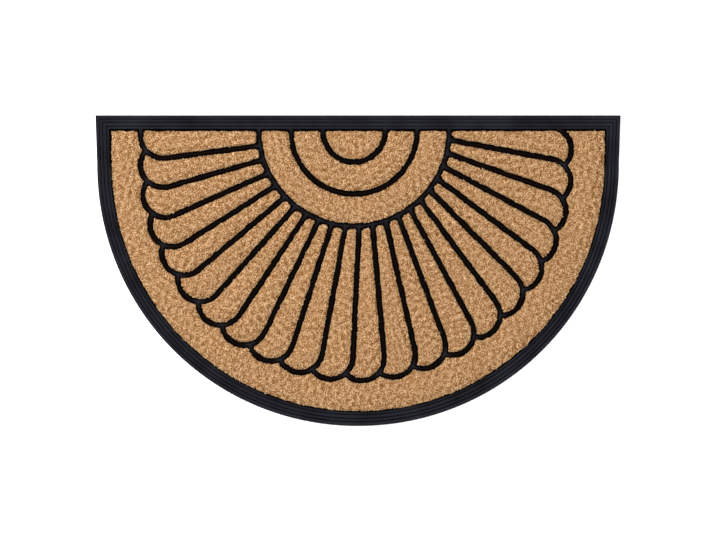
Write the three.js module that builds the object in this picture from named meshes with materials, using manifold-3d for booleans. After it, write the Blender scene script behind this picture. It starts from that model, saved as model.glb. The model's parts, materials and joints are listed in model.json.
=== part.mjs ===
// Half-round doormat. One moulded rubber tray, with a ridged rim and a raised fan of ribs,
// holds a separate block of coir pile in every pocket between the ribs.
// Millimetres, +Z up. The mat lies flat with the origin under the middle of its bounding box,
// +X along the straight back edge and +Y towards that edge.

import * as THREE from "three";
import { mergeVertices } from "three/addons/utils/BufferGeometryUtils.js";
import Module from "manifold-3d";

const wasm = await Module();
wasm.setup();

// Outline: a straight back edge, short sides that lean in a little, and half an oval in front.
// A fullness of 2 is a true oval, and a little more swells it between its axes.
const WIDTH = 752;
const DEPTH = 445;
const SIDE_LENGTH = 70;
const SIDE_LEAN = 2.4;
const FRONT_FULLNESS = 2.015;
const FRONT_STEPS = 60;

// Heights above the floor
const SHEET_TOP = 3.2;
const RIB_TOP = 8.0;
const PILE_BOTTOM = 3.5;
const PILE_TOP = 12.0;

// Rim: four ridges that step up from the outer edge, with a narrow groove between each two
const RIM_RIDGES = [
  { outer: 0.0, inner: 5.4, top: 5.0 },
  { outer: 6.6, inner: 10.1, top: 6.2 },
  { outer: 11.3, inner: 15.7, top: 7.4 },
  { outer: 16.9, inner: 20.2, top: 8.4 },
];
const RIDGE_BEVEL = 0.6;
const GROOVE_DEPTH = 1.4;
const RIM_WIDTH = 20.8;

// Ribs are tapered bars, and the pile stands back from them in a channel that opens upwards.
// It stands back from the rim too, most of all behind. Where a channel opens into another, or into
// the gap behind, it flares in a quarter round, which rounds the pile's corners.
const RIB_FOOT_WIDTH = 7.0;
const RIB_CROWN_WIDTH = 5.4;
const RIB_ROOT = 1.0;
const CHANNEL_WIDTH = 8.2;
const CHANNEL_MOUTH_WIDTH = 9.2;
const CHANNEL_OVERRUN = 1.0;
const RIM_GAP = 0.8;
const RIM_GAP_MOUTH = 1.3;
const BACK_GAP_EXTRA = 1.4;
const RIM_BITE = 3.0;
const FLARE_RADIUS = 3.0;
const FLARE_STEPS = 3;

// Rings: half circles about a hub that sits a little to the left of the middle
const HUB_LEFT = 5.5;
const HUB_FROM_BACK = 23.1;
const RINGS = [
  { radius: 44.5, steps: 16 },
  { radius: 90.1, steps: 26 },
  { radius: 136.1, steps: 36 },
];

// Fan: ribs at an even pitch from right to left. Each leans back a little where it leaves the
// outer ring, runs straight, and then turns in an arc that closes the petal on its left.
// Their far ends aren't quite even: the skew crowds them towards the front, the spread outwards.
const PETALS = 22;
const LEAN_DEG = 3.0;
const LEAN_FADES_OVER = 5.5;
const SKEW_DEG = 1.2;
const SPREAD_DEG = 0.4;
const FAR_RADIUS = 293;
const FAN_LEFT = 2.8;
const FAN_FORWARD = 2.1;
const FAN_RADIUS = 308;
const SCALLOP_RADIUS = 32;
const SCALLOP_STEP_DEG = 15;

// The first rib lies inside the rim, and only its arc comes out
const FIRST_RIB_IN_RIM = 4.0;
const FIRST_ARC_START_DEG = 20;

const BACK_Y = DEPTH / 2;
const FRONT_CENTRE_Y = BACK_Y - SIDE_LENGTH;
const RIM_Y = BACK_Y - RIM_WIDTH;
const HUB = new THREE.Vector2(-HUB_LEFT, BACK_Y - HUB_FROM_BACK);
const FAN_CENTRE = new THREE.Vector2(-FAN_LEFT, FRONT_CENTRE_Y - FAN_FORWARD);
const PITCH_DEG = 180 / PETALS;
const PILE_FROM_RING = CHANNEL_MOUTH_WIDTH / 2;
const PILE_FROM_RIM = RIM_BITE + RIM_GAP_MOUTH + BACK_GAP_EXTRA;

const { degToRad } = THREE.MathUtils;

function fuller(share) {
  return Math.sign(share) * Math.abs(share) ** (2 / FRONT_FULLNESS);
}

// The mat's outline moved in from its edge, anticlockwise from the back right corner.
// The back corners may have an inset of their own.
function outline(inset, height, backInset = inset) {
  const corner = WIDTH / 2 - backInset;
  const back = BACK_Y - backInset;
  const across = WIDTH / 2 - inset - SIDE_LEAN;
  const forward = DEPTH - SIDE_LENGTH - inset;
  const loop = [new THREE.Vector3(corner, back, height), new THREE.Vector3(-corner, back, height)];
  for (let i = 0; i <= FRONT_STEPS; i++) {
    const a = Math.PI + (Math.PI * i) / FRONT_STEPS;
    const x = across * fuller(Math.cos(a));
    const y = FRONT_CENTRE_Y + forward * fuller(Math.sin(a));
    loop.push(new THREE.Vector3(x, y, height));
  }
  return loop;
}

// A closed solid through a row of convex loops with equal counts, with a flat cap on each end.
// Seen from the last loop's side, each loop runs anticlockwise.
function loft(loops) {
  const count = loops[0].length;
  const last = (loops.length - 1) * count;
  const index = [];
  for (let row = 0; row < last; row += count) {
    for (let i = 0; i < count; i++) {
      const a = row + i;
      const b = row + ((i + 1) % count);
      index.push(a, b, b + count, a, b + count, a + count);
    }
  }
  for (let i = 1; i + 1 < count; i++) {
    index.push(0, i + 1, i, last, last + i, last + i + 1);
  }
  const geometry = new THREE.BufferGeometry().setFromPoints(loops.flat());
  geometry.setIndex(index);
  const merged = mergeVertices(geometry);
  return new wasm.Manifold(
    new wasm.Mesh({
      numProp: 3,
      vertProperties: merged.attributes.position.array,
      triVerts: new Uint32Array(merged.index.array),
    }),
  );
}

// A bar along a plan path, with a four-sided section that is one width below and another on top.
// Each point of the path may have a flare, which widens the bar to either side.
function bar(path, lower, upper) {
  const section = [
    { way: 1, half: lower.width / 2, height: lower.height },
    { way: 1, half: upper.width / 2, height: upper.height },
    { way: -1, half: upper.width / 2, height: upper.height },
    { way: -1, half: lower.width / 2, height: lower.height },
  ];
  const loops = path.map(({ point, flare }, i) => {
    const back = point.clone().sub(path[i - 1]?.point ?? point).normalize();
    const ahead = (path[i + 1]?.point ?? point).clone().sub(point).normalize();
    const along = back.clone().add(ahead).normalize();
    const mitre = along.dot(i === 0 ? ahead : back);
    const left = new THREE.Vector2(-along.y, along.x).divideScalar(mitre);
    return section.map(({ way, half, height }) => {
      const corner = point.clone().addScaledVector(left, way * (half + flare));
      return new THREE.Vector3(corner.x, corner.y, height);
    });
  });
  return loft(loops);
}

function unflared(points) {
  return points.map((point) => ({ point, flare: 0 }));
}

// A path that flares at its start: from the given distance on, the flare shrinks from the radius to
// nothing in a quarter round, whose points take the place of the path's own.
function flaredFrom(distance, path) {
  const line = new THREE.CurvePath();
  for (let i = 1; i < path.length; i++) {
    line.add(new THREE.LineCurve(path[i - 1].point, path[i].point));
  }
  const reached = [0, ...line.getCurveLengths()];
  const round = Array.from({ length: FLARE_STEPS + 1 }, (_, i) => {
    const a = (Math.PI / 2) * (i / FLARE_STEPS);
    const along = distance + FLARE_RADIUS * (1 - Math.cos(a));
    return { point: line.getPoint(along / line.getLength()), flare: FLARE_RADIUS * (1 - Math.sin(a)) };
  });
  const rest = path.filter((_, i) => reached[i] > distance + FLARE_RADIUS);
  return [path[0], ...round, ...rest];
}

// The half circle of a ring, with both ends carried straight back into the rim.
function ringPath({ radius, steps }) {
  const path = [new THREE.Vector2(HUB.x - radius, RIM_Y + RIM_BITE)];
  for (let i = 0; i <= steps; i++) {
    const a = Math.PI + (Math.PI * i) / steps;
    path.push(new THREE.Vector2(HUB.x + radius * Math.cos(a), HUB.y + radius * Math.sin(a)));
  }
  path.push(new THREE.Vector2(HUB.x + radius, RIM_Y + RIM_BITE));
  return path;
}

// A point of the fan, by its angle below the line from the hub to the right.
function fanPoint(radius, degrees) {
  const a = degToRad(degrees);
  return new THREE.Vector2(HUB.x + radius * Math.cos(a), HUB.y - radius * Math.sin(a));
}

// Where the arc's centre lies along a rib, so that the arc just touches the limit of the fan:
// a half circle in front of its centre, and straight sides behind it.
function reachAlong(from, way) {
  const limit = FAN_RADIUS - SCALLOP_RADIUS;
  const offset = from.clone().sub(FAN_CENTRE);
  const along = offset.dot(way);
  const front = Math.sqrt(along * along - offset.lengthSq() + limit * limit) - along;
  if (from.y + way.y * front <= FAN_CENTRE.y) return front;
  return (Math.sign(way.x) * limit - offset.x) / way.x;
}

// A rib from its start: the way it runs, the side that it turns to, and the centre of its arc.
function ribFrom(start, way) {
  const turn = new THREE.Vector2(way.y, -way.x);
  const from = start.clone().addScaledVector(turn, SCALLOP_RADIUS);
  const centre = from.clone().addScaledVector(way, reachAlong(from, way));
  return { start, way, turn, centre };
}

function firstRib() {
  return ribFrom(new THREE.Vector2(HUB.x, RIM_Y + FIRST_RIB_IN_RIM), new THREE.Vector2(1, 0));
}

function petalRib(k) {
  const even = k * PITCH_DEG;
  const lean = LEAN_DEG * Math.min(1, (PETALS - k) / LEAN_FADES_OVER);
  const skew = SKEW_DEG * Math.sin(degToRad(2 * even));
  const spread = SPREAD_DEG * Math.cos(degToRad(even));
  const start = fanPoint(RINGS.at(-1).radius, even - lean);
  const far = fanPoint(FAR_RADIUS, even + skew - spread);
  return ribFrom(start, far.sub(start).normalize());
}

// How far a rib's arc turns before it meets the next rib, where the two circles cross.
function arcSweep(rib, next) {
  const half = next.centre.clone().sub(rib.centre).divideScalar(2);
  const outwards = new THREE.Vector2(-half.y, half.x).normalize();
  const rise = Math.sqrt(SCALLOP_RADIUS ** 2 - half.lengthSq());
  const meeting = half.addScaledVector(outwards, rise);
  return Math.atan2(meeting.dot(rib.way), -meeting.dot(rib.turn));
}

// The points of a rib's arc from one angle to another, where 0 is the end of the straight run.
function arcPath({ way, turn, centre }, begin, end) {
  const steps = Math.ceil((end - begin) / degToRad(SCALLOP_STEP_DEG));
  return Array.from({ length: steps + 1 }, (_, i) => {
    const a = begin + ((end - begin) * i) / steps;
    const point = centre.clone().addScaledVector(turn, -SCALLOP_RADIUS * Math.cos(a));
    return point.addScaledVector(way, SCALLOP_RADIUS * Math.sin(a));
  });
}

// The last rib turns through a right angle and then runs straight back into the rim.
function lastPath(rib) {
  const path = [rib.start, ...arcPath(rib, 0, Math.PI / 2)];
  path.push(new THREE.Vector2(path.at(-1).x, RIM_Y + RIM_BITE));
  return path;
}

// Each rib's plan path. Where its channel flares, the distance from that end to the pile goes with it.
function ringRib(ring) {
  return { path: ringPath(ring), pileFromStart: PILE_FROM_RIM, pileFromEnd: PILE_FROM_RIM };
}

function fanRibs() {
  const ribs = [firstRib()];
  for (let k = 1; k < PETALS; k++) ribs.push(petalRib(k));
  return ribs.map((rib, k) => {
    if (k + 1 === PETALS) {
      return { path: lastPath(rib), pileFromStart: PILE_FROM_RING, pileFromEnd: PILE_FROM_RIM };
    }
    const sweep = arcSweep(rib, ribs[k + 1]);
    if (k === 0) return { path: arcPath(rib, degToRad(FIRST_ARC_START_DEG), sweep) };
    return { path: [rib.start, ...arcPath(rib, 0, sweep)], pileFromStart: PILE_FROM_RING };
  });
}

function channelOf({ path, pileFromStart, pileFromEnd }) {
  let channel = unflared(path);
  if (pileFromStart) channel = flaredFrom(pileFromStart, channel);
  if (pileFromEnd) channel = flaredFrom(pileFromEnd, channel.reverse()).reverse();
  return channel;
}

const layout = [...RINGS.map(ringRib), ...fanRibs()];

// The tray: the underside, the outer wall, the ridges from outside in, and the sheet's top.
function trayBody() {
  const loops = [outline(0, 0)];
  for (const { outer, inner, top } of RIM_RIDGES) {
    const groove = top - GROOVE_DEPTH;
    loops.push(outline(outer, groove), outline(outer + RIDGE_BEVEL, top));
    loops.push(outline(inner - RIDGE_BEVEL, top), outline(inner, groove));
  }
  loops.push(outline(RIM_WIDTH, SHEET_TOP));
  return loft(loops);
}

function rubberTray() {
  const foot = { width: RIB_FOOT_WIDTH, height: SHEET_TOP - RIB_ROOT };
  const crown = { width: RIB_CROWN_WIDTH, height: RIB_TOP };
  return layout.reduce((tray, { path }) => tray.add(bar(unflared(path), foot, crown)), trayBody());
}

// The pile of the whole tray, cut along every rib into the separate blocks.
function coirBlocks() {
  const foot = { width: CHANNEL_WIDTH, height: PILE_BOTTOM - CHANNEL_OVERRUN };
  const mouth = { width: CHANNEL_MOUTH_WIDTH, height: PILE_TOP + CHANNEL_OVERRUN };
  const lower = RIM_WIDTH + RIM_GAP;
  const upper = RIM_WIDTH + RIM_GAP_MOUTH;
  const blank = loft([
    outline(lower, PILE_BOTTOM, lower + BACK_GAP_EXTRA),
    outline(upper, PILE_TOP, upper + BACK_GAP_EXTRA),
  ]);
  const pile = layout.reduce((rest, rib) => rest.subtract(bar(channelOf(rib), foot, mouth)), blank);
  return pile.decompose();
}

function meshOf(name, solid, material) {
  const { vertProperties, triVerts } = solid.getMesh();
  const geometry = new THREE.BufferGeometry();
  geometry.setAttribute("position", new THREE.BufferAttribute(vertProperties, 3));
  geometry.setIndex(new THREE.BufferAttribute(triVerts, 1));
  geometry.computeVertexNormals();
  const mesh = new THREE.Mesh(geometry, material);
  mesh.name = name;
  return mesh;
}

function rubber() {
  return new THREE.MeshStandardMaterial({ color: 0x24262c, roughness: 0.7, metalness: 0 });
}

function coir() {
  return new THREE.MeshStandardMaterial({ color: 0xc39a67, roughness: 1, metalness: 0 });
}

// A block's angle about the hub, from the right, and the distance at which it starts.
function placeOf(block) {
  const { min, max } = block.boundingBox();
  const angle = Math.atan2(HUB.y - (min[1] + max[1]) / 2, (min[0] + max[0]) / 2 - HUB.x);
  const { vertProperties } = block.getMesh();
  let start = Infinity;
  for (let i = 0; i < vertProperties.length; i += 3) {
    start = Math.min(start, Math.hypot(vertProperties[i] - HUB.x, vertProperties[i + 1] - HUB.y));
  }
  return { block, angle, start };
}

const blocks = coirBlocks().map(placeOf);
blocks.sort((a, b) => a.start - b.start);
const [centre, middleRing, outerRing, ...rest] = blocks;
const band = rest.pop();
const petals = rest.sort((a, b) => a.angle - b.angle);

const mat = new THREE.Group();
mat.add(meshOf("rubber_tray", rubberTray(), rubber()));
mat.add(meshOf("coir_band", band.block, coir()));
mat.add(meshOf("coir_ring_outer", outerRing.block, coir()));
mat.add(meshOf("coir_ring_middle", middleRing.block, coir()));
mat.add(meshOf("coir_centre", centre.block, coir()));
petals.forEach(({ block }, i) => {
  const number = String(i + 1).padStart(2, "0");
  mat.add(meshOf(`coir_petal_${number}`, block, coir()));
});

export default mat;
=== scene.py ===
# %% [markdown]
# A half-round doormat. One moulded rubber tray carries a ridged rim and a raised fan of ribs, and
# every pocket between the ribs is packed with short, stiff coir bristles.
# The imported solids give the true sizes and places. This lesson dresses them: it replaces the tray
# with rounded mouldings and each plain coir block with thousands of separate bristles.

# %% Load the frame
import json
import math

import bpy
import numpy as np
from mathutils.geometry import delaunay_2d_cdt
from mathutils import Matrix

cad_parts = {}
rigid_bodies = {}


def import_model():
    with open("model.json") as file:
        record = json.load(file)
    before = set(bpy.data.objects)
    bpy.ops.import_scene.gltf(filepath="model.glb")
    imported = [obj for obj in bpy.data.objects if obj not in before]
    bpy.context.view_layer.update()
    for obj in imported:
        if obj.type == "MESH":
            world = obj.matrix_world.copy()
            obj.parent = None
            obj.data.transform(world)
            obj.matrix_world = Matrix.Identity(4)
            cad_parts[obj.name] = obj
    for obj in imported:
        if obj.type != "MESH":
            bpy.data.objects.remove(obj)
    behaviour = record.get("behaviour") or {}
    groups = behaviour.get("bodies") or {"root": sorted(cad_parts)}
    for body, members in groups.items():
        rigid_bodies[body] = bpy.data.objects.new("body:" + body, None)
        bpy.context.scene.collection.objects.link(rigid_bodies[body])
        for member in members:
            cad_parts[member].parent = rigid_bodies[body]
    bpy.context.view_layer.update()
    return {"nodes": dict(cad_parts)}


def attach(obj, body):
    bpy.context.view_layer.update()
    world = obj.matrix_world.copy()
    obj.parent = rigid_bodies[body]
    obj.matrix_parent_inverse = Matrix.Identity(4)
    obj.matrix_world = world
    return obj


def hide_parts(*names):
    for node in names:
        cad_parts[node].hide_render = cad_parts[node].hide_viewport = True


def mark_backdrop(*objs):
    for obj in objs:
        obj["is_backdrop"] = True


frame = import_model()
MM = 0.001

# %% [markdown]
# The mat is seen from straight above, so the camera hangs over its middle and looks down.
# A long lens from far away would do, and so would an orthographic camera. The long lens is used,
# because the same camera then gives natural views from the sides.

# %% Camera
PICTURE_WIDTH = 1024.8 * MM
CAMERA_LENS = 150.0
SENSOR_WIDTH = 36.0
PICTURE_LEVEL = 5 * MM
PICTURE_CENTRE_Y = 0.9 * MM

camera_data = bpy.data.cameras.new("camera")
camera_data.lens = CAMERA_LENS
camera_data.sensor_width = SENSOR_WIDTH
camera = bpy.data.objects.new("camera", camera_data)
camera_height = PICTURE_LEVEL + PICTURE_WIDTH * CAMERA_LENS / SENSOR_WIDTH
camera.location = (0, PICTURE_CENTRE_Y, camera_height)
bpy.context.scene.collection.objects.link(camera)
bpy.context.scene.camera = camera
print("camera height in m:", round(camera_height, 3))

# %% [markdown]
# Soft studio light: a bright, even surround and two large soft boxes that stand well to the side,
# the stronger one at the upper left. Straight overhead a soft box would mirror itself in the
# rubber, which looks almost black. The card below glows a little, as on a light table, which keeps
# it white where the mat shades it.

# %% Floor, light and colour
FLOOR_SIDE = 24.0
FLOOR_DROP = 0.3 * MM
FLOOR_GLOW = 0.25
WHITE = (1, 1, 1, 1)
CARD_COLOUR = (0.9, 0.9, 0.9, 1)
CARD_ROUGHNESS = 0.9
SURROUND_STRENGTH = 0.93
SOFT_BOX_SIZE = 1.6
SOFT_BOXES = {
    "soft_box_left": {"place": (-2.3, 1.5, 2.4), "watts": 200},
    "soft_box_right": {"place": (2.4, -1.2, 2.6), "watts": 60},
}


def node_material(name):
    """A new material, its node tree and its shader's node."""
    made = bpy.data.materials.new(name)
    made.use_nodes = True
    return made, made.node_tree, made.node_tree.nodes["Principled BSDF"]


def add_floor():
    """A square of pale card, with its corners at plus and minus half its side."""
    half = FLOOR_SIDE / 2
    corners = [(-half, -half), (half, -half), (half, half), (-half, half)]
    mesh = bpy.data.meshes.new("floor")
    mesh.from_pydata([(x, y, -FLOOR_DROP) for x, y in corners], [], [(0, 1, 2, 3)])
    floor = bpy.data.objects.new("floor", mesh)
    bpy.context.scene.collection.objects.link(floor)
    card, _, shader = node_material("pale_card")
    shader.inputs["Base Color"].default_value = CARD_COLOUR
    shader.inputs["Roughness"].default_value = CARD_ROUGHNESS
    shader.inputs["Emission Color"].default_value = WHITE
    shader.inputs["Emission Strength"].default_value = FLOOR_GLOW
    mesh.materials.append(card)
    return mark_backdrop(floor)


def add_soft_box(name, place, watts):
    """A square area light at a place, turned to face the mat's middle."""
    data = bpy.data.lights.new(name, "AREA")
    data.shape = "SQUARE"
    data.size = SOFT_BOX_SIZE
    data.energy = watts
    light = bpy.data.objects.new(name, data)
    light.location = place
    light.rotation_euler = (-light.location).to_track_quat("-Z", "Y").to_euler()
    bpy.context.scene.collection.objects.link(light)


add_floor()
for name, box in SOFT_BOXES.items():
    add_soft_box(name, box["place"], box["watts"])
surround = bpy.data.worlds.new("surround")
surround.use_nodes = True
background = surround.node_tree.nodes["Background"]
background.inputs["Strength"].default_value = SURROUND_STRENGTH
background.inputs["Color"].default_value = WHITE
bpy.context.scene.world = surround
bpy.context.scene.view_settings.view_transform = "Standard"
print("lights:", list(SOFT_BOXES))

# %% [markdown]
# Every piece below is a set of numpy arrays: points, faces and, for the coir, a map of two numbers
# for each point. One helper puts such arrays into a mesh in a few whole-array calls, which is much
# faster than adding vertices one at a time. A second one joins rows of points into a closed skin,
# for the rim and the ribs, which are profiles carried along a path.

# %% Arrays into a mesh
BODY = "root"


def mesh_object(name, points, faces, material):
    """An object from points (n, 3) and equal-sided faces (m, k), shaded smooth."""
    mesh = bpy.data.meshes.new(name)
    sides = faces.shape[1]
    mesh.vertices.add(len(points))
    mesh.vertices.foreach_set("co", points.astype(np.float32).ravel())
    mesh.loops.add(faces.size)
    mesh.loops.foreach_set("vertex_index", faces.astype(np.int32).ravel())
    mesh.polygons.add(len(faces))
    mesh.polygons.foreach_set("loop_start", np.arange(0, faces.size, sides, dtype=np.int32))
    mesh.polygons.foreach_set("use_smooth", np.ones(len(faces), dtype=bool))
    mesh.materials.append(material)
    mesh.update(calc_edges=True)
    made = bpy.data.objects.new(name, mesh)
    bpy.context.scene.collection.objects.link(made)
    return made


def closed_rows(name, plan, heights):
    """An object from rows of plan points (rows, n, 2) and their heights. Each row is a closed loop.
    Four-sided faces join it to the next, and one flat face closes the first row and the last."""
    rows, count = plan.shape[:2]
    heights = np.broadcast_to(heights, (rows, count))[..., None]
    points = np.concatenate([plan, heights], axis=-1).reshape(-1, 3)
    row, step = np.meshgrid(np.arange(rows - 1), np.arange(count), indexing="ij")
    start = (row * count + step).ravel()
    after = (row * count + (step + 1) % count).ravel()
    walls = np.stack([start, after, after + count, start + count], axis=-1)
    first = np.arange(count)[::-1]
    last = np.arange(count) + (rows - 1) * count
    mesh = bpy.data.meshes.new(name)
    mesh.from_pydata(points.tolist(), [], [*walls.tolist(), first.tolist(), last.tolist()])
    return bpy.data.objects.new(name, mesh)


def unit(vectors):
    """Each vector divided by its own length."""
    return vectors / np.linalg.norm(vectors, axis=-1, keepdims=True)


# %% [markdown]
# The rubber is matt and nearly black. On the real mat it is a rough moulding: the skin has a fine
# grain. The rim is a lighter, bluish grey than the ribs, with painted shade in its grooves and along
# its outer edge, and a painted bluish sheen lies on the rib crowns where ribs meet.
# Two noises do this, a fine one for the grain and a broad one that breaks up the lighter grey. The
# mesh carries one more number for each point, its share of the lighter grey, and the broad noise is
# multiplied by it.

# %% Rubber
RUBBER_CLEAN = (0.0016, 0.0006, 0.0003, 1)
# A lighter bluish grey for the rim, which is also a painted sheen on rib crowns where ribs meet.
RUBBER_RIM_AND_SHEEN = (0.0125, 0.0135, 0.0185, 1)
RUBBER_GLOSS = 0.025
RUBBER_ROUGHNESS = (0.5, 0.8)
RIM_SHADE_SHEEN = "rim_shade_sheen"
BROAD_NOISE_PER_M = 26.0
BROAD_NOISE_DETAIL = 5
RIM_AND_SHEEN_FULL_AT = 0.7
GRAIN_PER_M = 900.0
GRAIN_DETAIL = 3
GRAIN_STRENGTH = 0.35
GRAIN_DEPTH = 0.3 * MM


def set_ramp(node, stops):
    """Gives a colour ramp its stops, each a place from 0 to 1 and a colour."""
    elements = node.color_ramp.elements
    while len(elements) < len(stops):
        elements.new(0.5)
    for element, (place, colour) in zip(elements, stops):
        element.position = place
        element.color = colour


def make_rubber():
    """Moulded rubber: base colour from broad noise times the share of lighter grey, which holds
    painted shade and sheen; roughness and bump from fine noise.
    """
    made, tree, shader = node_material("moulded_rubber")
    nodes, links = tree.nodes, tree.links
    place = nodes.new("ShaderNodeTexCoord")
    broad_noise = nodes.new("ShaderNodeTexNoise")
    broad_noise.inputs["Scale"].default_value = BROAD_NOISE_PER_M
    broad_noise.inputs["Detail"].default_value = BROAD_NOISE_DETAIL
    rim_shade_sheen = nodes.new("ShaderNodeAttribute")
    rim_shade_sheen.attribute_name = RIM_SHADE_SHEEN
    amount = nodes.new("ShaderNodeMath")
    amount.operation = "MULTIPLY"
    tint = nodes.new("ShaderNodeValToRGB")
    set_ramp(tint, [(0.0, RUBBER_CLEAN), (RIM_AND_SHEEN_FULL_AT, RUBBER_RIM_AND_SHEEN)])
    grain = nodes.new("ShaderNodeTexNoise")
    grain.inputs["Scale"].default_value = GRAIN_PER_M
    grain.inputs["Detail"].default_value = GRAIN_DETAIL
    dullness = nodes.new("ShaderNodeMapRange")
    dullness.inputs["To Min"].default_value = RUBBER_ROUGHNESS[0]
    dullness.inputs["To Max"].default_value = RUBBER_ROUGHNESS[1]
    bump = nodes.new("ShaderNodeBump")
    bump.inputs["Strength"].default_value = GRAIN_STRENGTH
    bump.inputs["Distance"].default_value = GRAIN_DEPTH
    links.new(place.outputs["Object"], broad_noise.inputs["Vector"])
    links.new(place.outputs["Object"], grain.inputs["Vector"])
    links.new(broad_noise.outputs["Fac"], amount.inputs[0])
    links.new(rim_shade_sheen.outputs["Fac"], amount.inputs[1])
    links.new(amount.outputs["Value"], tint.inputs["Fac"])
    links.new(tint.outputs["Color"], shader.inputs["Base Color"])
    links.new(grain.outputs["Fac"], dullness.inputs["Value"])
    links.new(dullness.outputs["Result"], shader.inputs["Roughness"])
    links.new(grain.outputs["Fac"], bump.inputs["Height"])
    links.new(bump.outputs["Normal"], shader.inputs["Normal"])
    shader.inputs["Specular IOR Level"].default_value = RUBBER_GLOSS
    return made


rubber = make_rubber()
print("made", rubber.name)

# %% [markdown]
# The rim and the sheet are one profile carried round the mat's outline: up the outer wall, over
# four ridges that step up inwards, and down to the sheet. Each loop of the outline has its own
# inset, so the back corners come out mitred.

# %% Rim and sheet
WIDTH = 752 * MM
DEPTH = 445 * MM
SIDE_LENGTH = 70 * MM
SIDE_LEAN = 2.4 * MM
FRONT_FULLNESS = 2.015
BACK_Y = DEPTH / 2
FRONT_CENTRE_Y = BACK_Y - SIDE_LENGTH
FRONT_STEPS = 180
SHEET_TOP = 3.2 * MM
RIM_WIDTH = 20.8 * MM
RIM_Y = BACK_Y - RIM_WIDTH
GROOVE_DEPTH = 1.4 * MM
RIDGES = np.array([(0.0, 5.4, 5.0), (6.6, 10.1, 6.2), (11.3, 15.7, 7.4), (16.9, 20.2, 8.4)]) * MM
RIDGE_POINTS = 9
RIDGE_SQUARENESS = 3.5
FOOT_ROUND = 0.5 * MM


def fuller(share):
    """A sine or cosine to a power just under 1, which swells an oval between its axes."""
    return np.sign(share) * np.abs(share) ** (2 / FRONT_FULLNESS)


def outline(inset):
    """The mat's outline moved in by each inset (n,): two back corners, then half an oval whose x is
    its half width times the fuller cosine, and y its depth times the fuller sine, from pi to 2 pi."""
    inset = np.asarray(inset)[:, None]
    angle = np.linspace(math.pi, 2 * math.pi, FRONT_STEPS + 1)[None]
    half = WIDTH / 2 - inset
    back = BACK_Y - inset
    forward = DEPTH - SIDE_LENGTH - inset
    x = np.hstack([half, -half, (half - SIDE_LEAN) * fuller(np.cos(angle))])
    y = np.hstack([back, back, FRONT_CENTRE_Y + forward * fuller(np.sin(angle))])
    return np.stack([x, y], axis=-1)


def rim_profile():
    """Inset and height from the floor to the sheet. A ridge's height falls below its top by the
    groove's depth times the distance from its middle, from 0 to 1, to the power of its squareness."""
    off_middle = np.sin(np.linspace(-math.pi / 2, math.pi / 2, RIDGE_POINTS))
    outer, inner, top = RIDGES[:, :1], RIDGES[:, 1:2], RIDGES[:, 2:]
    inset = (outer + inner) / 2 + (inner - outer) / 2 * off_middle
    height = top - GROOVE_DEPTH * np.abs(off_middle) ** RIDGE_SQUARENESS
    inset = np.concatenate([[FOOT_ROUND, 0], inset.ravel(), [RIM_WIDTH]])
    height = np.concatenate([[0, FOOT_ROUND], height.ravel(), [SHEET_TOP]])
    return inset, height


def make_tray_base():
    """Loops of the outline, one for each inset and height of the profile, joined row by row."""
    inset, height = rim_profile()
    made = closed_rows("tray_base", outline(inset), height[:, None])
    bpy.context.scene.collection.objects.link(made)
    return made


tray_base = make_tray_base()
print("rim and sheet:", len(tray_base.data.polygons), "faces")

# %% [markdown]
# The ribs follow a plan of three half rings and a fan. Each fan rib runs straight out from the
# outer ring and then turns in an arc that closes the petal on its left, as a row of scallops.
# The plan is worked out for all ribs at once, from the same few values as the solids.

# %% Plan of the ribs
HUB = np.array([-5.5 * MM, BACK_Y - 23.1 * MM])
RING_RADII = np.array([44.5, 90.1, 136.1]) * MM
RING_STEPS = 72
RIM_BITE = 3.0 * MM
PETALS = 22
LEAN_DEG = 3.0
LEAN_FADES_OVER = 5.5
SKEW_DEG = 1.2
SPREAD_DEG = 0.4
FAR_RADIUS = 293 * MM
FAN_CENTRE = np.array([-2.8 * MM, FRONT_CENTRE_Y - 2.1 * MM])
FAN_RADIUS = 308 * MM
SCALLOP_RADIUS = 32 * MM
SCALLOP_STEPS = 14
STRAIGHT_STEPS = 14
FIRST_RIB_IN_RIM = 4.0 * MM
FIRST_ARC_START = math.radians(20)


def ring_path(radius):
    """Half a circle about the hub, with both ends carried straight back into the rim."""
    angle = np.linspace(math.pi, 2 * math.pi, RING_STEPS + 1)
    arc = HUB + radius * np.stack([np.cos(angle), np.sin(angle)], axis=-1)
    ends = np.array([[HUB[0] - radius, RIM_Y + RIM_BITE], [HUB[0] + radius, RIM_Y + RIM_BITE]])
    return np.vstack([ends[:1], arc, ends[1:]])


def fan_point(radius, degrees):
    """The hub plus the radius, turned down from the right by the angle."""
    angle = np.radians(degrees)
    return HUB + radius * np.stack([np.cos(angle), -np.sin(angle)], axis=-1)


def fan_ribs():
    """Start, way, turning side and arc centre of every rib. The arc's centre lies one scallop
    radius to the rib's side, as far along as lets the arc touch the limit of the fan."""
    number = np.arange(1, PETALS)
    even = number * 180 / PETALS
    lean = LEAN_DEG * np.minimum(1, (PETALS - number) / LEAN_FADES_OVER)
    bend = SKEW_DEG * np.sin(np.radians(2 * even)) - SPREAD_DEG * np.cos(np.radians(even))
    start = fan_point(RING_RADII[-1], even - lean)
    way = unit(fan_point(FAR_RADIUS, even + bend) - start)
    start = np.vstack([[HUB[0], RIM_Y + FIRST_RIB_IN_RIM], start])
    way = np.vstack([[1.0, 0.0], way])
    turn = np.stack([way[:, 1], -way[:, 0]], axis=-1)
    pivot = start + SCALLOP_RADIUS * turn
    offset = pivot - FAN_CENTRE
    limit = FAN_RADIUS - SCALLOP_RADIUS
    along = np.sum(offset * way, axis=-1)
    front = np.sqrt(along**2 - np.sum(offset**2, axis=-1) + limit**2) - along
    side = (np.sign(way[:, 0]) * limit - offset[:, 0]) / way[:, 0]
    reach = np.where(pivot[:, 1] + way[:, 1] * front <= FAN_CENTRE[1], front, side)
    return start, way, turn, pivot + way * reach[:, None]


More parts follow.
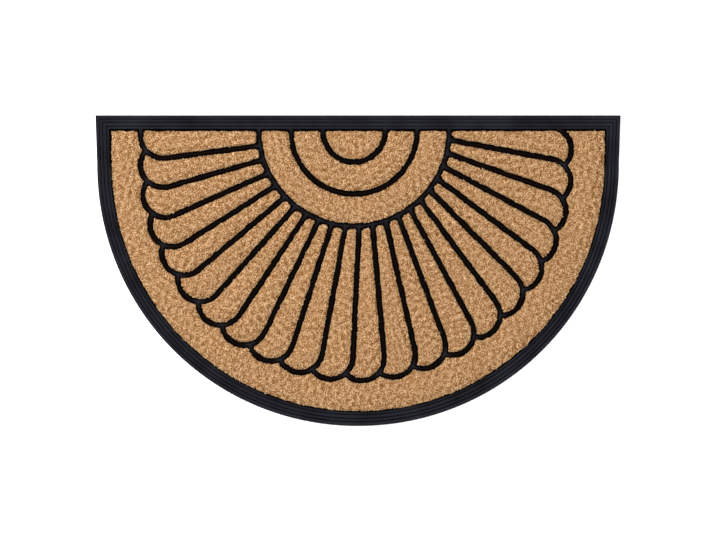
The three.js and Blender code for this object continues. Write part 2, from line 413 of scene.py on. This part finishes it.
def fan_paths():
    """Each rib's straight run and its arc, which is the centre minus the radius times the cosine
    along the turn plus the sine along the way, up to where it crosses the next rib's arc."""
    start, way, turn, centre = fan_ribs()
    half = np.diff(centre, axis=0) / 2
    outwards = unit(np.stack([-half[:, 1], half[:, 0]], axis=-1))
    rise = np.sqrt(SCALLOP_RADIUS**2 - np.sum(half**2, axis=-1, keepdims=True))
    meeting = half + outwards * rise
    sweep = np.arctan2(np.sum(meeting * way[:-1], axis=-1), -np.sum(meeting * turn[:-1], axis=-1))
    sweep = np.append(sweep, math.pi / 2)
    begin = np.zeros(PETALS)
    begin[0] = FIRST_ARC_START
    angle = np.linspace(begin, sweep, SCALLOP_STEPS + 1, axis=1)[..., None]
    arcs = centre[:, None] + SCALLOP_RADIUS * (
        np.sin(angle) * way[:, None] - np.cos(angle) * turn[:, None]
    )
    runs = np.linspace(start, arcs[:, 0], STRAIGHT_STEPS, endpoint=False, axis=1)
    paths = [arcs[0], *np.concatenate([runs, arcs], axis=1)[1:]]
    paths[-1] = np.vstack([paths[-1], [paths[-1][-1, 0], RIM_Y + RIM_BITE]])
    return paths


rib_paths = [ring_path(radius) for radius in RING_RADII] + fan_paths()
print("rib paths:", len(rib_paths))

# %% [markdown]
# A rib is a low bar with slightly sloped sides and a rounded crown, as a mould leaves it.
# All ribs, the rim and the sheet are one moulding on the real mat, so they are joined with a
# Boolean modifier, whose result is then kept as a plain mesh.

# %% Ribs, joined to the tray
RIB_TOP = 8.0 * MM
RIB_SINK = 1.0 * MM
RIB_FOOT = SHEET_TOP - RIB_SINK
RIB_FOOT_HALF = 3.5 * MM
RIB_SHOULDER_HALF = 2.9 * MM
RIB_SHOULDER = 6.6 * MM
CROWN_POINTS = 11
CROWN_SQUARENESS = 0.75
SHARP_ANGLE = math.radians(40)
RIM_FADE = 2.0 * MM
# Painted shade: the rim takes less of its lighter grey about each groove and along its outer edge.
GROOVES = np.append((RIDGES[:-1, 1] + RIDGES[1:, 0]) / 2, 0)
GROOVE_FADE = 1.1 * MM
GROOVE_SHADE = 0.45
# Painted sheen: rib crowns take the lighter grey near where ribs meet.
CROWN_FROM = 7.3 * MM
CROWN_SHEEN = 0.8
MEETING_REACH = 6.5 * MM


def rib_section():
    """Side and height of the section: the foot, then a crown whose side is the cosine and whose
    height is the sine of angles from 0 to pi, the cosine squared off by its power."""
    angle = np.linspace(0, math.pi, CROWN_POINTS)
    cosine = np.cos(angle)
    side = RIB_SHOULDER_HALF * np.sign(cosine) * np.abs(cosine) ** CROWN_SQUARENESS
    height = RIB_SHOULDER + (RIB_TOP - RIB_SHOULDER) * np.sin(angle)
    side = np.concatenate([[RIB_FOOT_HALF], side, [-RIB_FOOT_HALF]])
    height = np.concatenate([[RIB_FOOT], height, [RIB_FOOT]])
    return side, height


def make_rib(name, path):
    """The section set at every point of the path, square to the mean of the ways in and out and
    widened by the mitre, with a flat face at each end."""
    side, height = rib_section()
    ways = unit(np.diff(path, axis=0))
    into = np.vstack([ways[:1], ways])
    out = np.vstack([ways, ways[-1:]])
    along = unit(into + out)
    mitre = np.sum(along * into, axis=-1, keepdims=True)
    left = np.stack([-along[:, 1], along[:, 0]], axis=-1) / mitre
    return closed_rows(name, path[:, None] + left[:, None] * side[None, :, None], height)


def inset_of(points):
    """How far in from the outline: in front, the oval's depth times 1 minus the share at which the
    point lies on the way out, and behind, the nearer of the side and the back edge."""
    x, y = np.abs(points[:, 0]), np.abs(points[:, 1] - FRONT_CENTRE_Y)
    forward = DEPTH - SIDE_LENGTH
    across = WIDTH / 2 - SIDE_LEAN
    share = (x / across) ** FRONT_FULLNESS + (y / forward) ** FRONT_FULLNESS
    in_front = forward * (1 - share ** (1 / FRONT_FULLNESS))
    behind = np.minimum(WIDTH / 2 - x, BACK_Y - points[:, 1])
    return np.where(points[:, 1] < FRONT_CENTRE_Y, in_front, behind)


def rim_and_sheen_share(points):
    """From 0 to 1, the share of the lighter grey. On the rim it is 1, and less by a bell curve about
    each groove and the outer edge, which is painted shade. On a rib it is the way up the crown, times
    a bell curve of the distance to where ribs meet, which is a painted sheen."""
    inset = inset_of(points)
    rim = np.clip((RIM_WIDTH - inset) / RIM_FADE, 0, 1)
    grooves = np.exp(-(((inset[:, None] - GROOVES) / GROOVE_FADE) ** 2)).max(axis=1)
    rim *= 1 - (1 - GROOVE_SHADE) * grooves
    meetings = np.array([end for path in rib_paths for end in (path[0], path[-1])])
    distance = np.linalg.norm(points[:, None, :2] - meetings, axis=-1).min(axis=1)
    crown = np.clip((points[:, 2] - CROWN_FROM) / (RIB_TOP - CROWN_FROM), 0, 1)
    return np.maximum(rim, CROWN_SHEEN * crown * np.exp(-((distance / MEETING_REACH) ** 2)))


def make_moulding():
    """The tray's base and every rib as one closed surface."""
    ribs = bpy.data.collections.new("ribs")
    bpy.context.scene.collection.children.link(ribs)
    for number, path in enumerate(rib_paths):
        ribs.objects.link(make_rib(f"rib_{number:02d}", path))
    join = tray_base.modifiers.new("join", "BOOLEAN")
    join.operation = "UNION"
    join.operand_type = "COLLECTION"
    join.collection = ribs
    join.solver = "MANIFOLD"
    shapes = bpy.context.evaluated_depsgraph_get()
    mesh = bpy.data.meshes.new_from_object(tray_base.evaluated_get(shapes))
    for scrap in [tray_base, *ribs.objects]:
        bpy.data.objects.remove(scrap)
    bpy.data.collections.remove(ribs)
    mesh.name = "tray_moulding"
    mesh.materials.clear()
    mesh.materials.append(rubber)
    mesh.polygons.foreach_set("use_smooth", np.ones(len(mesh.polygons), dtype=bool))
    mesh.set_sharp_from_angle(angle=SHARP_ANGLE)
    co = np.empty(len(mesh.vertices) * 3, dtype=np.float32)
    mesh.vertices.foreach_get("co", co)
    rim_shade_sheen = mesh.attributes.new(RIM_SHADE_SHEEN, "FLOAT", "POINT")
    rim_shade_sheen.data.foreach_set("value", rim_and_sheen_share(co.reshape(-1, 3)).astype(np.float32))
    made = bpy.data.objects.new("tray_moulding", mesh)
    bpy.context.scene.collection.objects.link(made)
    return made


tray = make_moulding()
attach(tray, BODY)
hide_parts("rubber_tray")

# %% [markdown]
# Coir is the husk fibre of the coconut: straw to red brown, with painted shade that makes it a little
# darker at the roots.
# One material serves every bristle. It reads two numbers from the bristle's own map: across is the
# tone of that bristle, up is the way from its root to its tip.

# %% Coir
COIR_MAP = "OFBake"
COIR_TONES = [
    (0.00, (0.06, 0.018, 0.003, 1)),
    (0.25, (0.24, 0.105, 0.030, 1)),
    (0.50, (0.465, 0.277, 0.129, 1)),
    (0.75, (0.688, 0.466, 0.252, 1)),
    (1.00, (0.77, 0.545, 0.320, 1)),
]
# Painted shade: a bristle darkens a little towards its root, down in the pile.
COIR_ROOT_SHADE = [(0.0, 0.95), (0.5, 1.0)]
COIR_ROUGHNESS = 0.85
COIR_GLOSS = 0.15


def make_coir():
    """Dry fibre: the tone's colour times the shade of the depth in the pile."""
    made, tree, shader = node_material("coir_fibre")
    nodes, links = tree.nodes, tree.links
    own_map = nodes.new("ShaderNodeUVMap")
    own_map.uv_map = COIR_MAP
    parts = nodes.new("ShaderNodeSeparateXYZ")
    tone = nodes.new("ShaderNodeValToRGB")
    set_ramp(tone, COIR_TONES)
    depth = nodes.new("ShaderNodeValToRGB")
    set_ramp(depth, [(place, (grey, grey, grey, 1)) for place, grey in COIR_ROOT_SHADE])
    shade = nodes.new("ShaderNodeMix")
    shade.data_type = "RGBA"
    shade.blend_type = "MULTIPLY"
    shade.inputs["Factor"].default_value = 1
    links.new(own_map.outputs["UV"], parts.inputs["Vector"])
    links.new(parts.outputs["X"], tone.inputs["Fac"])
    links.new(parts.outputs["Y"], depth.inputs["Fac"])
    links.new(tone.outputs["Color"], shade.inputs["A"])
    links.new(depth.outputs["Color"], shade.inputs["B"])
    links.new(shade.outputs["Result"], shader.inputs["Base Color"])
    shader.inputs["Roughness"].default_value = COIR_ROUGHNESS
    shader.inputs["Specular IOR Level"].default_value = COIR_GLOSS
    return made


coir = make_coir()
print("made", coir.name)

# %% [markdown]
# Each block's outline is read from its own solid: the flat triangles of its top, and the edges
# that only one of them has. From that outline comes a felted core, a little smaller and lower than
# the solid, in which the bristles stand. An outline that is moved in crosses itself where an edge is
# very short, so short edges are closed up first. The core's top and bottom are filled afresh, because
# the solid's own thin triangles would turn over when their corners move.

# %% A block's outline and its core
PILE_TOP = 12.0 * MM
SAME_POINT = 0.01 * MM
SHORT_EDGE = 0.65 * MM
INSIDE_OUTLINE = 1
TOUCHING = 1e-9
SHARPEST_MITRE = 1.0
CORE_INSETS = np.array([0.2, 0.6, 1.0, 1.2]) * MM
CORE_HEIGHTS = np.array([3.5, 7.6, 9.2, 10.2]) * MM
# Painted shade: the core is dark, darkest at its foot low in the channel, standing in for the shade
# under and between the bristles; its map also sets it low in the root shade.
CORE_SHADE_TONES = np.array([0.06, 0.13, 0.175, 0.175])
CORE_TONE_SPREAD = 0.03
CORE_DEPTH = 0.1


def without_short_edges(points, edges):
    """An outline with the end of every short edge drawn into its start, or into the start of a short
    edge before it, and its points numbered afresh."""
    length = np.linalg.norm(points[edges[:, 1]] - points[edges[:, 0]], axis=1)
    short = edges[length < SHORT_EDGE]
    drawn = np.arange(len(points))
    drawn[short[:, 1]] = short[:, 0]
    edges = drawn[drawn[edges]]
    used, edges = np.unique(edges[edges[:, 0] != edges[:, 1]], return_inverse=True)
    return points[used], edges.reshape(-1, 2)


def top_of(node):
    """The welded plan points of a node's top face, and its outline from point to point: the edges of
    its triangles whose opposite isn't an edge of any other, without the short ones."""
    mesh = frame["nodes"][node].data
    co = np.empty(len(mesh.vertices) * 3, dtype=np.float32)
    mesh.vertices.foreach_get("co", co)
    corners = np.empty(len(mesh.loops), dtype=np.int32)
    mesh.loops.foreach_get("vertex_index", corners)
    triangles = co.reshape(-1, 3)[corners].reshape(-1, 3, 3).astype(float)
    flat = np.all(triangles[..., 2] > PILE_TOP - SAME_POINT, axis=1)
    plan = np.round(triangles[flat][..., :2] / SAME_POINT).reshape(-1, 2).astype(int)
    kept, faces = np.unique(plan, axis=0, return_inverse=True)
    faces = faces.reshape(-1, 3)
    edges = np.concatenate([faces, np.roll(faces, -1, axis=1)]).reshape(2, -1).T
    code = edges[:, 0] * len(kept) + edges[:, 1]
    opposite = edges[:, 1] * len(kept) + edges[:, 0]
    return without_short_edges(kept * SAME_POINT, edges[~np.isin(code, opposite)])


def outward(points, edges):
    """At each point of the outline, the sum of its two edges' normals, times 2 and divided by its own
    length squared, which makes it a mitre. The limit keeps sharp tips short."""
    way = unit(points[edges[:, 1]] - points[edges[:, 0]])
    normal = np.stack([way[:, 1], -way[:, 0]], axis=-1)
    total = np.zeros_like(points)
    np.add.at(total, edges[:, 0], normal)
    np.add.at(total, edges[:, 1], normal)
    return 2 * total / np.maximum(np.sum(total**2, axis=-1, keepdims=True), SHARPEST_MITRE)


def filled(plan, edges):
    """Triangles that fill an outline, picked so that, where the outline allows it, no other point
    lies in a triangle's circle. Any that end where the outline crosses itself are left out."""
    made = delaunay_2d_cdt(plan.tolist(), edges.tolist(), [], INSIDE_OUTLINE, TOUCHING)
    faces = np.array(made[2])
    return faces[np.all(faces < len(plan), axis=1)]


def block_core(points, edges):
    """The outline at each row's inset and height, joined row by row, and closed with triangles above
    and below, those below turned over."""
    count, rows = len(points), len(CORE_INSETS)
    plan = points - outward(points, edges) * CORE_INSETS[:, None, None]
    heights = np.broadcast_to(CORE_HEIGHTS[:, None, None], (rows, count, 1))
    stacked = np.concatenate([plan, heights], axis=-1).reshape(-1, 3)
    start = edges + count * np.arange(rows - 1)[:, None, None]
    here, there = start[..., 0].ravel(), start[..., 1].ravel()
    walls = np.concatenate(
        [
            np.stack([here, there, there + count], axis=-1),
            np.stack([here, there + count, here + count], axis=-1),
        ]
    )
    top = filled(plan[-1], edges) + (rows - 1) * count
    bottom = filled(plan[0], edges)[:, ::-1]
    return stacked, np.vstack([walls, top, bottom])


# %% [markdown]
# A bristle is a sliver with an edge at its root and another, turned by a right angle, at its tip:
# four points and four faces, closed, and blunt like a cut fibre. Bristles stand in tufts that lean
# and differ in tone together. Tufts thrown down at random would leave bald spots, so they stand in
# rows, each moved a little within its own cell. A few are missing, more in some patches than in
# others, and through these gaps the core's painted shade shows as the dark specks of the pile. Along
# a block's rim the bristles lean out and waver, which makes its edges ragged, and they are painted
# darker the lower they stand in the channel.

# %% Bristles
SEED = 20
TUFT_PITCH = 1.56 * MM
TUFT_ROW_PITCH = 1.35 * MM
SPARE_COLUMNS = 2
TUFT_BRISTLES = 3
TUFT_SPREAD = 0.42 * MM
TUFT_LEAN = 0.7
BRISTLE_LEAN = 0.2
BRISTLE_LENGTH = (1.6 * MM, 2.6 * MM)
BRISTLE_ROOT_HALF = 0.45 * MM
BRISTLE_TIP_HALF = 0.4 * MM
ROOT_DEPTH = 0.6 * MM
EDGE_BRISTLES_PER_MM = 3.0
EDGE_ROOT_INSET = 1.15 * MM
EDGE_ROOT_HEIGHTS = (5.5 * MM, 10.0 * MM)
EDGE_LENGTH = (1.2 * MM, 2.3 * MM)
EDGE_OUT = (0.2, 1.0)
EDGE_UP = (0.3, 1.0)
# Painted shade: edge bristles run from dark low in the channel to light near the top.
EDGE_SHADE_TONES = (0.25, 0.65)
WAVES = 16
WAVER_LENGTHS = (8 * MM, 40 * MM)
WAVER = 0.28 * MM
PATCH_LENGTHS = (4 * MM, 14 * MM)
GAP_SHARE = 0.14
TONE_MIDDLE = 0.645
TUFT_TONE = 0.13
PATCH_TONE = 0.15
BRISTLE_TONE = 0.08
TONE_WIDTH = 0.004
SLIVER_POINTS = 4
SLIVER_FACES = np.array([(0, 1, 2), (0, 3, 1), (0, 2, 3), (1, 3, 2)])
SLIVER_ACROSS = np.array([-1, 1, -1, 1])
SLIVER_UP = np.array([0.01, 0.01, 0.99, 0.99])


def tuft_places(points, edges, rng):
    """Places spread evenly over an outline: rows of points a pitch apart, every other row moved on by
    half a pitch. A point is inside if the outline crosses its row an odd number of times before it.
    Each one inside is then moved at random within its own cell."""
    low, high = points.min(axis=0), points.max(axis=0)
    rows = np.arange(low[1], high[1], TUFT_ROW_PITCH)[:, None]
    begin = low[0] + TUFT_PITCH / 2 * (np.arange(len(rows))[:, None] % 2)
    columns = round((high[0] - low[0]) / TUFT_PITCH) + SPARE_COLUMNS
    start, end = points[edges[:, 0]], points[edges[:, 1]]
    crosses = (start[:, 1] > rows) != (end[:, 1] > rows)
    share = (rows - start[:, 1]) / np.where(crosses, end[:, 1] - start[:, 1], 1)
    crossing = start[:, 0] + share * (end[:, 0] - start[:, 0])
    column = np.clip(np.ceil((crossing - begin) / TUFT_PITCH), 0, columns - 1).astype(int)
    row, edge = np.nonzero(crosses)
    turns = np.zeros((len(rows), columns), dtype=int)
    np.add.at(turns, (row, column[row, edge]), 1)
    row, column = np.nonzero(turns.cumsum(axis=1) % 2)
    places = np.stack([begin[row, 0] + TUFT_PITCH * column, rows[row, 0]], axis=-1)
    cell = np.array([TUFT_PITCH, TUFT_ROW_PITCH])
    return places + cell * rng.uniform(-0.5, 0.5, places.shape)


def wave_field(rows, lengths, rng):
    """Plane waves for each row of a field: how fast an angle grows along x and y, and its phase."""
    way = rng.uniform(0, 2 * math.pi, (rows, WAVES))
    length = rng.uniform(*lengths, (rows, WAVES))
    phase = rng.uniform(0, 2 * math.pi, (rows, WAVES))
    return np.stack([np.cos(way), np.sin(way)]) * 2 * math.pi / length, phase


def wave_sums(plan, field):
    """For plan points (n, 2) and each row of a field, the sum of its waves' sines, times the factor
    that gives it a spread of 1."""
    growth, phase = field
    angle = np.tensordot(plan, growth, axes=1) + phase
    return math.sqrt(2 / WAVES) * np.sin(angle).sum(axis=-1)


def wavered(plan, field):
    """Plan points (n, 2), moved along each axis by that axis's waves."""
    return plan + WAVER * wave_sums(plan, field)


def slivers(roots, ways, lengths, tones, rng):
    """Points, faces and map of bristles. The root's two points lie half a width to either side, and
    the tip's two points likewise, square to the first pair."""
    count = len(roots)
    across = unit(np.cross(ways, rng.normal(size=(count, 3))))
    square = np.cross(ways, across)
    tips = roots + ways * lengths[:, None]
    points = np.stack(
        [
            roots - across * BRISTLE_ROOT_HALF,
            roots + across * BRISTLE_ROOT_HALF,
            tips - square * BRISTLE_TIP_HALF,
            tips + square * BRISTLE_TIP_HALF,
        ],
        axis=1,
    )
    faces = SLIVER_FACES + SLIVER_POINTS * np.arange(count)[:, None, None]
    tone = np.clip(tones, 2 * TONE_WIDTH, 1 - 2 * TONE_WIDTH)[:, None]
    across_map = tone + TONE_WIDTH * SLIVER_ACROSS
    up_map = np.broadcast_to(SLIVER_UP, across_map.shape)
    flat = np.stack([across_map, up_map], axis=-1)
    return points.reshape(-1, 3), faces.reshape(-1, 3), flat.reshape(-1, 2)


def mixed_tones(base, rng):
    """A bristle's tone: the one it is given, plus a share of its own."""
    return base + BRISTLE_TONE * rng.normal(size=len(base))


def tuft_bristles(points, edges, field, rng):
    """Bristles on the top of a core. A tuft is missing with a chance of the gap share times 1 minus a
    sum of waves, which also adds to its tone. A root is its tuft's centre plus a spread, and its way
    is straight up plus the tuft's lean plus its own."""
    centres = wavered(tuft_places(points, edges, rng), field)
    patches = wave_sums(centres, wave_field(1, PATCH_LENGTHS, rng))[:, 0]
    grown = rng.random(len(centres)) > GAP_SHARE * (1 - patches)
    centres, patches = centres[grown], patches[grown]
    tufts = len(centres)
    leans = TUFT_LEAN * rng.normal(size=(tufts, 2))
    tuft_tones = TONE_MIDDLE + TUFT_TONE * rng.normal(size=tufts) + PATCH_TONE * patches
    tuft = np.repeat(np.arange(tufts), TUFT_BRISTLES)
    count = len(tuft)
    plan = centres[tuft] + TUFT_SPREAD * rng.normal(size=(count, 2))
    height = CORE_HEIGHTS[-1] - ROOT_DEPTH
    roots = np.hstack([plan, np.full((count, 1), height)])
    lean = leans[tuft] + BRISTLE_LEAN * rng.normal(size=(count, 2))
    ways = unit(np.hstack([lean, np.ones((count, 1))]))
    lengths = rng.uniform(*BRISTLE_LENGTH, count)
    return slivers(roots, ways, lengths, mixed_tones(tuft_tones[tuft], rng), rng)


def edge_bristles(points, edges, field, rng):
    """Bristles on the upper walls of a core: a place along an edge picked by its length, and a way
    that leans out and up. Its tone is painted shade: the lower it is in the channel, the darker."""
    start, end = points[edges[:, 0]], points[edges[:, 1]]
    length = np.linalg.norm(end - start, axis=1)
    count = round(length.sum() / MM * EDGE_BRISTLES_PER_MM)
    pick = rng.choice(len(edges), count, p=length / length.sum())
    along = (end - start) / length[:, None]
    normal = np.stack([along[:, 1], -along[:, 0]], axis=-1)[pick]
    place = start[pick] + rng.random((count, 1)) * (end - start)[pick] - normal * EDGE_ROOT_INSET
    up = rng.random((count, 1))
    low, high = EDGE_ROOT_HEIGHTS
    roots = np.hstack([wavered(place, field), low + (high - low) * up])
    out = rng.uniform(*EDGE_OUT, (count, 1))
    ways = np.hstack([normal * out, rng.uniform(*EDGE_UP, (count, 1))])
    ways = unit(ways + BRISTLE_LEAN * rng.normal(size=(count, 3)))
    lengths = rng.uniform(*EDGE_LENGTH, count)
    dark, light = EDGE_SHADE_TONES
    base = dark + (light - dark) * up[:, 0]
    return slivers(roots, ways, lengths, mixed_tones(base, rng), rng)


def joined(parts):
    """Several sets of points, faces and map as one set, with the faces' numbers moved on."""
    starts = np.cumsum([0] + [len(points) for points, _, _ in parts[:-1]])
    points = np.vstack([points for points, _, _ in parts])
    faces = np.vstack([faces + start for (_, faces, _), start in zip(parts, starts)])
    return points, faces, np.vstack([flat for _, _, flat in parts])


def make_pile(name, parts, node):
    """A pile piece from its parts, which stands for a coir node."""
    points, faces, flat = joined(parts)
    made = mesh_object(name, points, faces, coir)
    layer = made.data.uv_layers.new(name=COIR_MAP, do_init=False)
    layer.uv.foreach_set("vector", flat[faces.ravel()].astype(np.float32).ravel())
    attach(made, BODY)
    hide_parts(node)
    return made


# %% [markdown]
# Every block is made by the same few calls, from a seed of its own, so that no two look alike.
# The band round the fan is a long block, and its bristles are split at the middle into a left and a
# right piece, to keep each mesh of a handy size.

# %% All the blocks


def make_block(node, number):
    """The core, its tufts and its ragged edge for one coir node."""
    rng = np.random.default_rng([SEED, number])
    points, edges = top_of(node)
    field = wave_field(2, WAVER_LENGTHS, rng)
    core_points, core_faces = block_core(points, edges)
    core_flat = np.column_stack(
        [
            np.repeat(CORE_SHADE_TONES, len(points)) + CORE_TONE_SPREAD * rng.random(len(core_points)),
            CORE_DEPTH + CORE_TONE_SPREAD * rng.random(len(core_points)),
        ]
    )
    inner = points - outward(points, edges) * CORE_INSETS[-2]
    tufts = tuft_bristles(inner, edges, field, rng)
    edge = edge_bristles(points, edges, field, rng)
    return (core_points, core_faces, core_flat), tufts, edge


def kept_bristles(part, keep):
    """The bristles of a part that a mask keeps, numbered afresh. A bristle has as many faces as
    points, so the first faces of the part fit them."""
    points, faces, flat = part
    points = points.reshape(-1, SLIVER_POINTS, 3)[keep].reshape(-1, 3)
    flat = flat.reshape(-1, SLIVER_POINTS, 2)[keep].reshape(-1, 2)
    return points, faces[: len(points)], flat


def split_at_middle(name, core, bristles):
    """The core by itself, and the bristles with their first point left and right of the middle."""
    left = [points[::SLIVER_POINTS, 0] < 0 for points, _, _ in bristles]
    return {
        f"{name}_core": [core],
        f"{name}_left": [kept_bristles(part, mask) for part, mask in zip(bristles, left)],
        f"{name}_right": [kept_bristles(part, ~mask) for part, mask in zip(bristles, left)],
    }


total = 0
coir_nodes = sorted(node for node in frame["nodes"] if node.startswith("coir_"))
for number, node in enumerate(coir_nodes):
    core, *bristles = make_block(node, number)
    name = node.replace("coir_", "pile_")
    is_band = node == "coir_band"
    pieces = split_at_middle(name, core, bristles) if is_band else {name: [core, *bristles]}
    for piece_name, parts in pieces.items():
        piece = make_pile(piece_name, parts, node)
        total += len(piece.data.polygons)
        print(piece.name, len(piece.data.polygons), "triangles")
print("coir in all:", total, "triangles")
